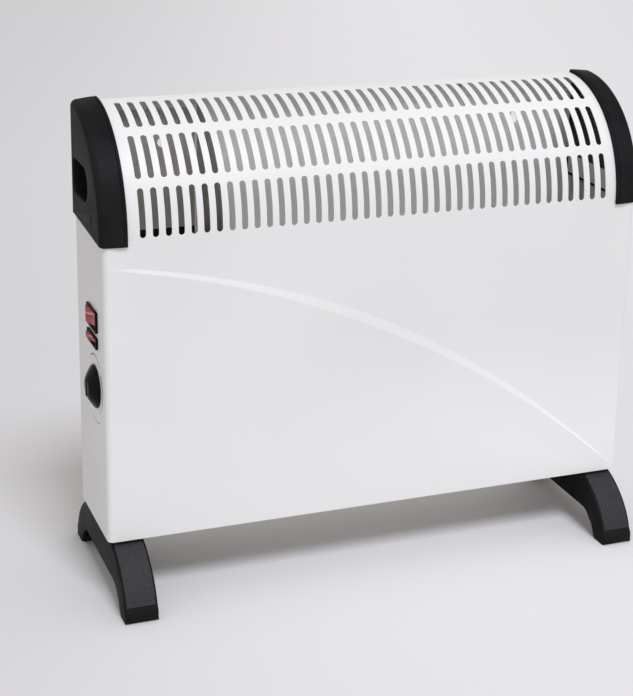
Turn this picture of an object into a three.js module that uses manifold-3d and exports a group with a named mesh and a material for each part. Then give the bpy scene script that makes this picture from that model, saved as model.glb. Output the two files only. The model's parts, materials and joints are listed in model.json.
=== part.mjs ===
// Convector heater on two feet. Millimetres, +Z up, front towards -Y, z = 0 on the floor.
import * as THREE from 'three';
import { mergeVertices } from 'three/addons/utils/BufferGeometryUtils.js';
import Module from 'manifold-3d';

const wasm = await Module();
wasm.setup();

// ---- driving dimensions ------------------------------------------------------------------
const GAP = 0.3;              // clearance between pieces that lie against each other
const SHEET = 0.8;            // painted steel sheet
const INNER_SHEET = 0.6;      // galvanised sheet inside

const BODY_W = 524;           // casing, outside
const BODY_D = 104;
const SIDE = BODY_W / 2;
const REAR = BODY_D / 2;
const FRONT = -BODY_D / 2;
const FOOT_H = 60;            // floor to casing bottom
const FRONT_H = 284;          // flat front, from the casing bottom to the arc
const ARC_R = BODY_D;         // the top is a quarter circle about the rear edge
const ARC_Z = FOOT_H + FRONT_H;   // height of the arc centre, where the front plane ends
const CORNER_R = 9;           // vertical bends of the front sheet
const FLANGE = 12;            // rear flanges of the casing

const CAP_IN = SIDE - 22;     // inner edge of an end cap
const CAP_LENGTH = 24.5;      // along the heater
const CAP_OUT = CAP_IN + CAP_LENGTH;   // its side face
const CAP_R = ARC_R + 3;      // rim at the inner edge
const CAP_R_OUT = ARC_R - 5;  // rim where it turns into the side face
const CAP_WALL = 2.4;
const CAP_LAP = 7;            // the back panel reaches this far over a cap
const GRIP = { y0: REAR - 60, y1: REAR - 5, z0: ARC_Z + 22, z1: ARC_Z + 53.5, r: 15,
  depth: 15 };
const LATCH = { y: REAR - 73, z: ARC_Z + 12, w: 3, h: 9 };   // slot over the cap's catch

const SLOT_COUNT = 40;
const SLOT_PITCH = (BODY_W - 60) / SLOT_COUNT;
const SLOT_W = 5.6;
const SLOT_CORNER = 1.6;
const SLOT_ROWS = [[1, 25], [29.5, 53], [58.5, 81.5]];  // degrees up the arc
const GRILLE_FACETS = 3;        // flats per row of slots
const GRILLE_HALF = CAP_IN + 3;   // the grille ends inside the end caps

const FOOT_X = SIDE - 19;     // centre of each foot
const FOOT_W = 31;
const FOOT_REACH = REAR + 45; // centre plane to toe tip
const FOOT_WALL = 3;

const KNOB = { y: -14, z: ARC_Z - 145, d: 40, skirt: 1.4, h: 9.2, face: 24, grip: 5 };
const SHAFT_D = 6;
const SHAFT_FIT = 0.6;        // shaft in the panel hole, on the diameter
const SWITCH_Y = -9.5;
const SWITCH_W = 36;          // bezel along the depth
const SWITCHES = { upper: { z: ARC_Z - 81, h: 20 }, lower: { z: ARC_Z - 100.8, h: 11 } };
const BEZEL_T = 2;
const SWITCH_RIM = 2;         // bezel width round the rocker
const ROCK = 8;               // degrees each way from level

const DIVIDER_X = -SIDE + 114;   // sheet between the heating duct and the controls
const DIVIDER_GAP = 2.2;      // clear of the casing's inner faces and the pan's flanges
const INLET = { count: 13, w: 14, l: 20, y: 14, c: 4 };   // slots in the base
const INLET_PITCH = (BODY_W - 82) / INLET.count;
const LOUVRE = { count: 9, w: 30, h: 6, c: 1.8, rows: [FOOT_H + 28, FOOT_H + 44] };
const LOUVRE_PITCH = (BODY_W - 92) / LOUVRE.count;
const PAN_FLOOR = FOOT_H + GAP + SHEET;
const SHIELD = { y0: FRONT + 18, y1: REAR - 18, z0: PAN_FLOOR + GAP, z1: ARC_Z - 94 };
const ELEMENT = { x0: DIVIDER_X + 20, x1: SIDE - 26, amp: 15, wire: 1.4 };
const ELEMENT_TURNS = 33;
const ELEMENT_Z = { low: FOOT_H + 60, high: FOOT_H + 90 };
const SUPPORT_X = [ELEMENT.x0 + 10, (ELEMENT.x0 + ELEMENT.x1) / 2, ELEMENT.x1 - 10];

const KEYHOLE = { x: SIDE - 82, z: ARC_Z + 60, head: 9, neck: 4.6, drop: 12 };
const SCREW_D = 3.5;
const SCREW_FIT = 0.8;        // hole over screw, on the diameter
const SCREW_HEAD = { d: 7, h: 2.2 };

// ---- materials ---------------------------------------------------------------------------
const mat = (name, color, roughness, metalness = 0) =>
  new THREE.MeshStandardMaterial({ name, color, roughness, metalness });
const WHITE = mat('white_powder_coat', 0xe4e4e4, 0.5);
const BLACK = mat('black_plastic', 0x1d1d1f, 0.45);
const DARK = mat('dark_grey_plastic', 0x44444a, 0.6);
const ZINC = mat('galvanised_steel', 0x9a9b98, 0.45, 0.8);
const STEEL = mat('zinc_screw_steel', 0xb5b7ba, 0.35, 0.9);
const RED = mat('red_translucent_plastic', 0xc0202a, 0.2);
const MICA = mat('mica_board', 0xb59b74, 0.7);
const NICHROME = mat('resistance_wire', 0x6e6a66, 0.4, 0.8);
const NYLON = mat('cream_nylon', 0xd9d2bf, 0.6);
const WIRES = { live: mat('brown_insulation', 0x5a3420, 0.6),
  neutral: mat('blue_insulation', 0x2450a0, 0.6),
  earth: mat('green_yellow_insulation', 0x7ea33a, 0.6),
  element: mat('white_insulation', 0xdadada, 0.6) };

// ---- solids ------------------------------------------------------------------------------
const AXES = {                // where a drawn shape's x, y and depth go
  XY: [[1, 0, 0], [0, 1, 0], [0, 0, 1]],
  YZ: [[0, 1, 0], [0, 0, 1], [1, 0, 0]],
  ZX: [[0, 0, 1], [1, 0, 0], [0, 1, 0]],
};
const place = (plane) =>
  new THREE.Matrix4().makeBasis(...AXES[plane].map((a) => new THREE.Vector3(...a)));

function solid(geometry) {
  const bare = new THREE.BufferGeometry();
  bare.setAttribute('position', geometry.getAttribute('position'));
  if (geometry.index) bare.setIndex(geometry.index);
  const g = mergeVertices(bare, 1e-4);
  const mesh = new wasm.Mesh({ numProp: 3,
    vertProperties: new Float32Array(g.attributes.position.array),
    triVerts: new Uint32Array(g.index.array) });
  mesh.merge();
  return new wasm.Manifold(mesh);
}

const minus = (body, ...tools) => tools.reduce((a, b) => a.subtract(b), body);
const plus = (body, ...others) => others.reduce((a, b) => a.add(b), body);

function box([x0, x1], [y0, y1], [z0, z1]) {
  const g = new THREE.BoxGeometry(x1 - x0, y1 - y0, z1 - z0);
  return solid(g.translate((x0 + x1) / 2, (y0 + y1) / 2, (z0 + z1) / 2));
}

// a closed outline drawn in a plane and given depth from a to b
function prism(plane, outline, a, b, curveSegments = 4) {
  const shape = outline instanceof THREE.Shape ? outline
    : new THREE.Shape(outline.map(([u, v]) => new THREE.Vector2(u, v)));
  const g = new THREE.ExtrudeGeometry(shape,
    { depth: b - a, bevelEnabled: false, curveSegments });
  return solid(g.translate(0, 0, a).applyMatrix4(place(plane)));
}

// a turned body: points are [radius, height] along the axis
function turned(points, axis, at, segments) {
  const g = new THREE.LatheGeometry(
    points.map(([r, h]) => new THREE.Vector2(r, h)), segments);
  const up = new THREE.Vector3(0, 1, 0);
  g.applyQuaternion(new THREE.Quaternion().setFromUnitVectors(up,
    new THREE.Vector3(...axis)));
  return solid(g.translate(...at));
}

const rod = (d, h0, h1, axis, at, segments = 12) => turned(
  [[0, h0], [d / 2, h0], [d / 2, h1], [0, h1]], axis, at, segments);

function mesh(name, manifold, material) {
  const m = manifold.getMesh();
  const g = new THREE.BufferGeometry();
  g.setAttribute('position', new THREE.BufferAttribute(m.vertProperties, 3));
  g.setIndex(new THREE.BufferAttribute(m.triVerts, 1));
  const flat = g.toNonIndexed();
  flat.computeVertexNormals();
  const out = new THREE.Mesh(flat, material);
  out.name = name;
  return out;
}

function roundedRect(cx, cy, w, h, r) {
  const s = new THREE.Shape();
  const [x0, x1, y0, y1] = [cx - w / 2, cx + w / 2, cy - h / 2, cy + h / 2];
  s.moveTo(x0 + r, y0);
  s.lineTo(x1 - r, y0);
  s.absarc(x1 - r, y0 + r, r, -Math.PI / 2, 0);
  s.lineTo(x1, y1 - r);
  s.absarc(x1 - r, y1 - r, r, 0, Math.PI / 2);
  s.lineTo(x0 + r, y1);
  s.absarc(x0 + r, y1 - r, r, Math.PI / 2, Math.PI);
  s.lineTo(x0, y0 + r);
  s.absarc(x0 + r, y0 + r, r, Math.PI, 1.5 * Math.PI);
  return s;
}

// a stamped slot: a rectangle with its corners cut at 45 degrees
function stamped(cx, cy, w, h, c) {
  const [x, y] = [w / 2, h / 2];
  return [[x - c, -y], [x, c - y], [x, y - c], [x - c, y], [c - x, y], [-x, y - c],
    [-x, c - y], [c - x, -y]].map(([u, v]) => [cx + u, cy + v]);
}

const rad = THREE.MathUtils.degToRad;
// a point of the side profile, degrees up from the front plane, at radius r
const onArc = (deg, r = ARC_R) =>
  [REAR - r * Math.cos(rad(deg)), ARC_Z + r * Math.sin(rad(deg))];

// ---- casing sheet ------------------------------------------------------------------------
function wrapOutline(inset) {  // plan view of the front sheet, one face of it
  const [x, y, r] = [SIDE - inset, FRONT + inset, CORNER_R - inset];
  const pts = [];
  for (let i = 0; i <= 4; i++) {
    const a = rad(180 + 22.5 * i);
    pts.push([-x + r + r * Math.cos(a), y + r + r * Math.sin(a)]);
  }
  return [...pts, ...pts.map(([u, v]) => [-u, v]).reverse()];
}

// pressed rib across the front: [share of the half width, share of its height, width]
const RIB = [
  [-0.9046, 0.9049, 3], [-0.771, 0.8891, 4], [-0.5992, 0.8451, 5], [-0.4198, 0.7958, 7],
  [-0.2443, 0.7394, 9.5], [-0.0344, 0.662, 10], [0.126, 0.5863, 9.5], [0.2901, 0.5035, 8.5],
  [0.458, 0.4049, 7], [0.6031, 0.3028, 6], [0.7252, 0.2183, 4.5], [0.8817, 0.1021, 2.5]].map(
  ([u, v, w]) => [u * SIDE, FOOT_H + v * FRONT_H, w]);
const RIB_H = 1;

function ribSolid() {
  const side = (sign) => RIB.map(([x, z, w], i) => {
    const [a, b] = [RIB[Math.max(i - 1, 0)], RIB[Math.min(i + 1, RIB.length - 1)]];
    const [dx, dz] = [b[0] - a[0], b[1] - a[1]];
    const k = sign * w / 2 / Math.hypot(dx, dz);
    return [z + dx * k, x - dz * k];
  });
  const outline = [...side(1), ...side(-1).reverse()];
  return prism('ZX', outline.reverse(), FRONT - RIB_H, FRONT + SHEET / 2);
}

function frontPanel() {
  const top = ARC_Z - GAP / 2;
  const back = REAR - SHEET;
  const outer = wrapOutline(0);
  const inner = wrapOutline(SHEET);
  const lip = SIDE - FLANGE;
  const outline = [[-lip, REAR], [-SIDE, REAR], ...outer, [SIDE, REAR], [lip, REAR],
    [lip, back], [SIDE - SHEET, back], ...inner.reverse(), [-SIDE + SHEET, back],
    [-lip, back]];
  let body = prism('XY', outline, FOOT_H, top);
  body = plus(body, ribSolid());
  const wall = [-SIDE - 1, -SIDE + 2];
  for (const { z, h } of Object.values(SWITCHES)) {
    const [w, t] = [(SWITCH_W - SWITCH_RIM) / 2, (h - SWITCH_RIM) / 2];
    body = minus(body, box(wall, [SWITCH_Y - w, SWITCH_Y + w], [z - t, z + t]));
  }
  const hole = rod(SHAFT_D + SHAFT_FIT, ...wall, [1, 0, 0], [0, KNOB.y, KNOB.z]);
  return mesh('front_panel', minus(body, hole, ...screwHoles()), WHITE);
}

// ---- grille ------------------------------------------------------------------------------
function slotCutter([a, b]) {  // one row of slots as prisms along the row's mid direction
  const mid = (a + b) / 2;
  const length = 2 * ARC_R * Math.sin(rad((b - a) / 2));
  const depth = ARC_R * Math.cos(rad((b - a) / 2));
  return Array.from({ length: SLOT_COUNT }, (_, i) => {
    const x = (i - (SLOT_COUNT - 1) / 2) * SLOT_PITCH;
    return prism('XY', stamped(x, 0, SLOT_W, length, SLOT_CORNER), depth - 7, depth + 7)
      .rotate([90 - mid, 0, 0]).translate([0, REAR, ARC_Z]);
  });
}

function topGrille() {
  const steps = [0.2];
  SLOT_ROWS.forEach(([a, b], i) => {  // the bends lie in the webs and across the slots
    const end = i < 2 ? (b + SLOT_ROWS[i + 1][0]) / 2 : b + 2;
    const start = steps.at(-1);
    for (let k = 1; k <= GRILLE_FACETS; k++) {
      steps.push(start + (end - start) * k / GRILLE_FACETS);
    }
  });
  steps.push(90);
  const outer = steps.map((d) => onArc(d));
  const inner = steps.map((d) => onArc(d, ARC_R - SHEET));
  const lip = [[REAR, ARC_Z + ARC_R - FLANGE], [REAR - SHEET, ARC_Z + ARC_R - FLANGE]];
  inner[inner.length - 1][0] = REAR - SHEET;
  const body = prism('YZ', [...outer, ...lip, ...inner.reverse()].reverse(),
    -GRILLE_HALF, GRILLE_HALF);
  return mesh('top_grille', minus(body, ...SLOT_ROWS.flatMap(slotCutter),
    ...screwHoles()), WHITE);
}

// ---- back and base -----------------------------------------------------------------------
const FLANGE_SCREW_Z = [FOOT_H + 30, FOOT_H + FRONT_H / 2 - 2, ARC_Z - 34];
const BACK_SCREWS = [...[-1, 1].flatMap((s) => FLANGE_SCREW_Z.map((z) => [s * (SIDE - 8), z])),
  ...[-1, 1].map((s) => [s * (SIDE - 142), ARC_Z + ARC_R - FLANGE / 2])];
const screwHoles = () => BACK_SCREWS.map(([x, z]) =>
  rod(SCREW_D + SCREW_FIT, REAR - 3, REAR + 3, [0, 1, 0], [x, 0, z], 8));

function keyhole(sign) {
  const { x, z, head, neck, drop } = KEYHOLE;
  const at = [sign * x, 0, z];
  const [y0, y1] = [REAR - 2, REAR + 3];
  return plus(rod(head, y0, y1, [0, 1, 0], at, 16),
    box([sign * x - neck / 2, sign * x + neck / 2], [y0, y1], [z, z + drop]));
}

function louvres() {
  const { count, w, h, c, rows } = LOUVRE;
  return rows.flatMap((z) => Array.from({ length: count }, (_, i) => prism('ZX',
    stamped(z, (i - (count - 1) / 2) * LOUVRE_PITCH, h, w, c), REAR - 2, REAR + 3)));
}

const BACK_HALF = SIDE - 1;
function backPanel() {
  const body = box([-BACK_HALF, BACK_HALF], [REAR + GAP, REAR + GAP + SHEET],
    [FOOT_H + 1, ARC_Z + ARC_R]);
  const lap = CAP_IN + CAP_LAP;
  const ears = [[-BODY_W, -lap], [lap, BODY_W]].map((x) =>
    box(x, [REAR - 2, REAR + 4], [ARC_Z - 1, ARC_Z + 2 * ARC_R]));
  return mesh('back_panel', minus(body, ...ears, keyhole(-1), keyhole(1),
    ...louvres(), glandHole(), ...screwHoles()), WHITE);
}

const PAN_HALF = SIDE - SHEET - GAP;
function basePan() {
  const [y0, y1] = [FRONT + SHEET + GAP, REAR - SHEET - GAP];
  const [z0, z1] = [FOOT_H + GAP, FOOT_H + 14];
  const t = SHEET;
  const outline = [[y0, z0], [y1, z0], [y1, z1], [y1 - t, z1], [y1 - t, z0 + t],
    [y0 + t, z0 + t], [y0 + t, z1], [y0, z1]];
  const trough = prism('YZ', outline, -PAN_HALF + CORNER_R, PAN_HALF - CORNER_R);
  const slots = [];
  for (let i = 0; i < INLET.count; i++) {
    const x = (i - (INLET.count - 1) / 2) * INLET_PITCH;
    for (const y of [-INLET.y, INLET.y]) {
      slots.push(prism('XY', stamped(x, y, INLET.w, INLET.l, INLET.c), z0 - 2, z0 + 4));
    }
  }
  const holes = FOOT_SCREWS.map(([x, y]) =>
    rod(FOOT_SCREW_D + SCREW_FIT, z0 - 2, z0 + 4, [0, 0, 1], [x, y, 0], 8));
  return mesh('base_pan', minus(trough, ...slots, ...holes), ZINC);
}

// ---- end caps ----------------------------------------------------------------------------
// rim profile as [radius, distance from the centre plane], inset by the wall for the inside
const rimPoints = () => [[0, CAP_IN], [CAP_R - 1, CAP_IN], [CAP_R, CAP_IN + 1],
  [CAP_R, CAP_IN + 3], [CAP_R_OUT, CAP_OUT - 4], [CAP_R_OUT - 1.4, CAP_OUT - 1.4],
  [CAP_R_OUT - 5, CAP_OUT], [0, CAP_OUT]];
const cavityPoints = () => [[0, CAP_IN - 1], [ARC_R + GAP, CAP_IN - 1],
  [ARC_R + GAP, CAP_IN + 3 + GAP], [CAP_R_OUT - CAP_WALL, CAP_OUT - 4],
  [CAP_R_OUT - CAP_WALL - 3, CAP_OUT - CAP_WALL], [0, CAP_OUT - CAP_WALL]];

function quarter(points, inset) {
  const full = turned(points, [1, 0, 0], [0, REAR, ARC_Z], 48);
  return full.intersect(box([CAP_IN - 5, CAP_OUT + 5], [REAR - 2 * ARC_R, REAR - inset],
    [ARC_Z + GAP + inset, ARC_Z + 2 * ARC_R]));
}

function gripOutline(grow) {   // D shape, round to the front
  const { y0, y1, z0, z1, r } = GRIP;
  return roundedRect((y0 + y1) / 2, (z0 + z1) / 2, y1 - y0 + 2 * grow,
    z1 - z0 + 2 * grow, r + grow);
}

function capSolid() {          // the right-hand cap
  const seat = [[0, CAP_IN - 1], [ARC_R + GAP, CAP_IN - 1],
    [ARC_R + GAP, GRILLE_HALF + GAP], [0, GRILLE_HALF + GAP]];
  let body = minus(quarter(rimPoints(), 0), quarter(cavityPoints(), CAP_WALL),
    quarter(seat, -1));
  const floor = CAP_OUT - GRIP.depth;
  body = plus(body, prism('YZ', gripOutline(CAP_WALL - 0.4),
    floor - CAP_WALL, CAP_OUT - CAP_WALL / 2, 5));
  body = minus(body, prism('YZ', gripOutline(0), floor, CAP_OUT + 2, 5));
  const { y, z, w, h } = LATCH;
  return minus(body, box([CAP_OUT - 4, CAP_OUT + 1], [y - w / 2, y + w / 2],
    [z - h / 2, z + h / 2]));
}

const endCap = (name, sign) => mesh(name,
  sign > 0 ? capSolid() : capSolid().mirror([1, 0, 0]), BLACK);

const PLATE_T = INNER_SHEET;   // quarter disc inside each cap, against the grille's end
const plateReach = ARC_R - 2 * GAP;
function endPlate(name, sign) {
  const [y1, z0] = [REAR - CAP_WALL - GAP, ARC_Z + GAP + CAP_WALL + GAP];
  const x0 = GRILLE_HALF + GAP;
  const disc = rod(2 * plateReach, x0, x0 + PLATE_T, [1, 0, 0], [0, REAR, ARC_Z], 48);
  const plate = disc.intersect(box([x0 - 1, x0 + PLATE_T + 1], [REAR - 2 * ARC_R, y1],
    [z0, ARC_Z + 2 * ARC_R]));
  return mesh(name, sign > 0 ? plate : plate.mirror([1, 0, 0]), ZINC);
}

// ---- feet --------------------------------------------------------------------------------
const FOOT_ARCH = 23.5;        // clear height under the middle
const FOOT_SOLE = 17;
const FOOT_SEAT = REAR - 8;   // the top is flat this far each side of the centre
const FOOT_SCREW_D = 4.5;
const FOOT_SCREW_Y = REAR - 34;
const FOOT_SCREWS = [[-1, -1], [-1, 1], [1, -1], [1, 1]].map(([sx, sy]) =>
  [sx * FOOT_X, sy * FOOT_SCREW_Y]);

// the back of the foot from its seat to the toe, lowered by a wall for the pocket
function footBack(path, inset) {
  const [seat, tip, top] = [FOOT_SEAT - inset, FOOT_REACH - inset, FOOT_H - GAP - inset];
  path.lineTo(seat, top);
  path.bezierCurveTo(seat + 18, top - 6, tip - 5, FOOT_H * 0.55 - inset, tip, 8);
  return path;
}

function footPocket(side) {    // hollow above the arch, open underneath
  const w = FOOT_WALL;
  const path = new THREE.Path([new THREE.Vector2(w / 2, FOOT_H - GAP - w)]);
  const half = FOOT_W / 2 - w;
  const curve = footBack(path, w).getPoints(5);
  const block = prism('YZ', [...curve.map((p) => [p.x, p.y]), [w / 2, 8]].reverse(),
    -half, half);
  const toe = FOOT_REACH - FOOT_SOLE - w;
  const hollow = minus(block, box([-FOOT_W, FOOT_W], [toe, 2 * FOOT_REACH], [-1, 2 * FOOT_H]));
  return side > 0 ? hollow : hollow.mirror([0, 1, 0]);
}

function foot(name, sign) {
  const path = new THREE.Path([new THREE.Vector2(0, FOOT_H - GAP)]);
  footBack(path, 0);
  path.bezierCurveTo(FOOT_REACH, 3, FOOT_REACH - 1, 0, FOOT_REACH - 4, 0);
  const heel = FOOT_REACH - 4 - FOOT_SOLE;
  path.lineTo(heel, 0);
  path.bezierCurveTo(heel - 6, 8, heel - 10, FOOT_ARCH, heel - 26, FOOT_ARCH);
  path.lineTo(0, FOOT_ARCH);
  const right = path.getPoints(5).map((p) => [p.x, p.y]);
  const left = right.slice(1, -1).map(([y, z]) => [-y, z]).reverse();
  const body = prism('YZ', [...right, ...left].reverse(), -FOOT_W / 2, FOOT_W / 2);
  const holes = [-1, 1].map((s) => rod(FOOT_SCREW_D + SCREW_FIT, FOOT_H / 2, FOOT_H + 2,
    [0, 0, 1], [0, s * FOOT_SCREW_Y, 0], 8));
  const shell = minus(body, footPocket(1), footPocket(-1), ...holes);
  return mesh(name, shell.translate([sign * FOOT_X, 0, 0]), DARK);
}

// ---- screws ------------------------------------------------------------------------------
function screw(name, d, length, axis, at, headD, headH) {
  const body = turned([[0, -length], [d / 2, -length], [d / 2, 0], [headD / 2, 0],
    [headD / 2, headH * 0.45], [headD * 0.3, headH], [0, headH]], axis, at, 10);
  return mesh(name, body, STEEL);
}
const backScrews = () => BACK_SCREWS.map(([x, z], i) => screw(`back_screw_${i + 1}`, SCREW_D,
  9, [0, 1, 0], [x, REAR + GAP * 2 + SHEET, z], SCREW_HEAD.d, SCREW_HEAD.h));
const footScrews = () => FOOT_SCREWS.map(([x, y], i) => screw(`foot_screw_${i + 1}`,
  FOOT_SCREW_D, 12, [0, 0, -1], [x, y, FOOT_H - FOOT_WALL - 2 * GAP], 9, 3));

// ---- controls ----------------------------------------------------------------------------
function knob() {
  const { y, z, d, skirt, h, face, grip } = KNOB;
  const base = -SIDE - GAP;
  const body = turned([[0, 0], [d / 2, 0], [d / 2, skirt], [(d + face) / 4 + 1.3, h * 0.55],
    [face / 2 + 0.8, h - 1.4], [face / 2 - 0.6, h - 0.7], [0, h - 0.7]], [-1, 0, 0],
    [base, y, z], 32);
  const bar = box([base - h, base - h / 2], [y - grip / 2, y + grip / 2],
    [z - face / 2 + 1.2, z + face / 2 - 1.2]);
  const bore = rod(SHAFT_D + GAP, -1, h - 4, [-1, 0, 0], [base, y, z]);
  return mesh('thermostat_knob', minus(plus(body, bar), bore), BLACK);
}

const THERMOSTAT = { x0: -SIDE + SHEET + GAP, depth: 20, w: 34, h: 40 };
function thermostat() {
  const { x0, depth, w, h } = THERMOSTAT;
  const { y, z } = KNOB;
  const body = prism('YZ', roundedRect(y, z, w, h, 4), x0 + 3, x0 + depth);
  const collar = rod(12, x0, x0 + 4, [1, 0, 0], [0, y, z]);
  const bore = rod(SHAFT_D + SHAFT_FIT, x0 - 1, x0 + 12, [1, 0, 0], [0, y, z]);
  return mesh('thermostat_body', minus(plus(body, collar), bore), NYLON);
}

function shaft() {
  const end = THERMOSTAT.x0 + 11;
  const body = rod(SHAFT_D, -SIDE - KNOB.h + 5, end, [1, 0, 0], [0, KNOB.y, KNOB.z]);
  return mesh('thermostat_shaft', body, STEEL);
}

const SWITCH_DEPTH = 30;       // panel face to the ends of the tabs
const ROCKER_X = -SIDE + 1.5;  // rocker pivot, along Z
function switchHousing(name, { z, h }) {
  const [w, t] = [SWITCH_W / 2, h / 2];
  const [iw, it] = [w - SWITCH_RIM / 2 - GAP, t - SWITCH_RIM / 2 - GAP];
  const bezel = prism('YZ', roundedRect(SWITCH_Y, z, 2 * w, 2 * t, 1.5),
    -SIDE - GAP - BEZEL_T, -SIDE - GAP, 2);
  const block = box([-SIDE - GAP - 0.5, -SIDE + 22], [SWITCH_Y - iw, SWITCH_Y + iw],
    [z - it, z + it]);
  const well = box([-SIDE - 8, -SIDE + 12], [SWITCH_Y - w + SWITCH_RIM + 0.2,
    SWITCH_Y + w - SWITCH_RIM - 0.2], [z - t + SWITCH_RIM, z + t - SWITCH_RIM]);
  const tabs = [-1, 0, 1].map((k) => box([-SIDE + 21, -SIDE + SWITCH_DEPTH],
    [SWITCH_Y + k * 11 - 0.4, SWITCH_Y + k * 11 + 0.4], [z - 2.4, z + 2.4]));
  return mesh(name, plus(minus(plus(bezel, block), well), ...tabs), BLACK);
}

function rocker(name, { z, h }) {  // red key, drawn level and then tipped to off
  const half = SWITCH_W / 2 - SWITCH_RIM - 1.4;
  const t = h / 2 - SWITCH_RIM - GAP;
  const out = -SIDE - GAP - BEZEL_T;
  const outline = [[out - 2.4, -half], [out - 0.6, 0], [out - 2.4, half],
    [out + 3, half + 0.4], [ROCKER_X + 3, 7], [ROCKER_X + 3, -7], [out + 3, -half - 0.4]];
  const level = prism('XY', outline.reverse(), z - t, z + t);
  const tipped = level.translate([-ROCKER_X, 0, 0]).rotate([0, 0, ROCK])
    .translate([ROCKER_X, SWITCH_Y, 0]);
  return mesh(name, tipped, RED);
}

// ---- inside ------------------------------------------------------------------------------
function divider() {
  const reach = ARC_R - SHEET - DIVIDER_GAP;
  const [y0, y1] = [REAR - reach, REAR - DIVIDER_GAP];
  const pts = [[y0, PAN_FLOOR + GAP], [y1, PAN_FLOOR + GAP]];
  for (const d of [88, 75, 60, 45, 30, 15, 0]) {
    const [y, z] = onArc(d, reach);
    pts.push([Math.min(y, y1), z]);
  }
  const plate = prism('YZ', pts, DIVIDER_X, DIVIDER_X + INNER_SHEET);
  const holes = Object.values(ELEMENT_Z).map((z) => rod(6, DIVIDER_X - 2, DIVIDER_X + 2,
    [1, 0, 0], [0, -ELEMENT.amp, z], 8));
  return mesh('control_divider', minus(plate, ...holes), ZINC);
}

function heatShield(name, y, sign) {
  const { z0, z1 } = SHIELD;
  const t = sign * INNER_SHEET;
  const b = sign * 8;
  const lower = [[y, z0], [y - b, z0], [y - b, z0 + INNER_SHEET], [y - t, z0 + INNER_SHEET]];
  const upper = [[y - t, z1 - INNER_SHEET], [y - b, z1 - INNER_SHEET], [y - b, z1], [y, z1]];
  const outline = [...lower, ...upper];
  return mesh(name, prism('YZ', sign > 0 ? outline.reverse() : outline,
    DIVIDER_X + INNER_SHEET + GAP, SIDE - SHEET - GAP), ZINC);
}

function elementWire(name, z) {  // flat zigzag band between the supports
  const { x0, x1, amp, wire } = ELEMENT;
  const pitch = (x1 - x0) / ELEMENT_TURNS;
  const path = Array.from({ length: ELEMENT_TURNS + 1 }, (_, i) => [x0 + i * pitch,
    (i % 2 ? amp : -amp)]);
  const w = wire / 2 * 1.15;
  const far = path.map(([x, y]) => [x, y + w * 2]);
  return mesh(name, prism('XY', [...path.map(([x, y]) => [x, y - w * 2]), ...far.reverse()],
    z - wire / 2, z + wire / 2), NICHROME);
}

function micaSupport(name, x) {
  const half = SHIELD.y1 - INNER_SHEET - GAP;
  const [z0, z1] = [ELEMENT_Z.low - 16, ELEMENT_Z.high + 16];
  const plate = box([x - 0.6, x + 0.6], [-half, half], [z0, z1]);
  const windows = Object.values(ELEMENT_Z).map((z) =>
    box([x - 2, x + 2], [-ELEMENT.amp - 4, ELEMENT.amp + 4],
      [z - ELEMENT.wire / 2 - GAP, z + ELEMENT.wire / 2 + GAP]));
  return mesh(name, minus(plate, ...windows), MICA);
}

function cutout() {
  const [x, y, z] = [DIVIDER_X + 88, SHIELD.y1 - INNER_SHEET, ELEMENT_Z.high + 35];
  const body = turned([[0, 0], [8, 0], [8, 5], [5.5, 5], [5.5, 9], [0, 9]], [0, -1, 0],
    [x, y - GAP, z], 16);
  return mesh('thermal_cutout', body, STEEL);
}

const BLOCK = { x: -SIDE + 47, y: REAR - 32, z: PAN_FLOOR + GAP + 9, bore: 2.8 };
function terminalBlock() {
  const { x, y, z } = BLOCK;
  const body = box([x - 24, x + 24], [y - 10, y + 10], [z - 9, z + 7]);
  const cells = [-1, 0, 1].map((k) => rod(BLOCK.bore, 1, 10, [0, 0, 1], [x + k * 15, y, z], 10));
  return mesh('terminal_block', minus(body, ...cells), NYLON);
}

const GLAND = { x: -SIDE + 26, z: FOOT_H + 70, d: 15 };
function cordGland() {
  const { x, z, d } = GLAND;
  const y = REAR + GAP + SHEET;
  const body = turned([[4, -8], [6.4, -8], [6.4, 0.4], [d / 2, 0.4], [d / 2, 3.4],
    [5.6, 5.4], [4.6, 14], [4, 14], [4, -8]], [0, 1, 0], [x, y, z], 16);
  return mesh('cord_gland', body, BLACK);
}

function wire(name, points, material, d = 2.2) {
  const curve = new THREE.CatmullRomCurve3(points.map((p) => new THREE.Vector3(...p)));
  const tube = new THREE.TubeGeometry(curve, 14, d / 2, 6, false);
  const p = tube.getAttribute('position');
  const pos = Array.from(p.array);
  const idx = Array.from(tube.index.array);
  for (const [ring, centre, flip] of [[0, points[0], 1], [14, points.at(-1), 0]]) {
    const c = pos.length / 3;
    pos.push(...centre);
    for (let i = 0; i < 6; i++) {
      const [a, b] = [ring * 7 + i, ring * 7 + i + 1];
      idx.push(...(flip ? [c, a, b] : [c, b, a]));
    }
  }
  const g = new THREE.BufferGeometry();
  g.setAttribute('position', new THREE.Float32BufferAttribute(pos, 3));
  g.setIndex(idx);
  return mesh(name, solid(g), material);
}

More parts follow.
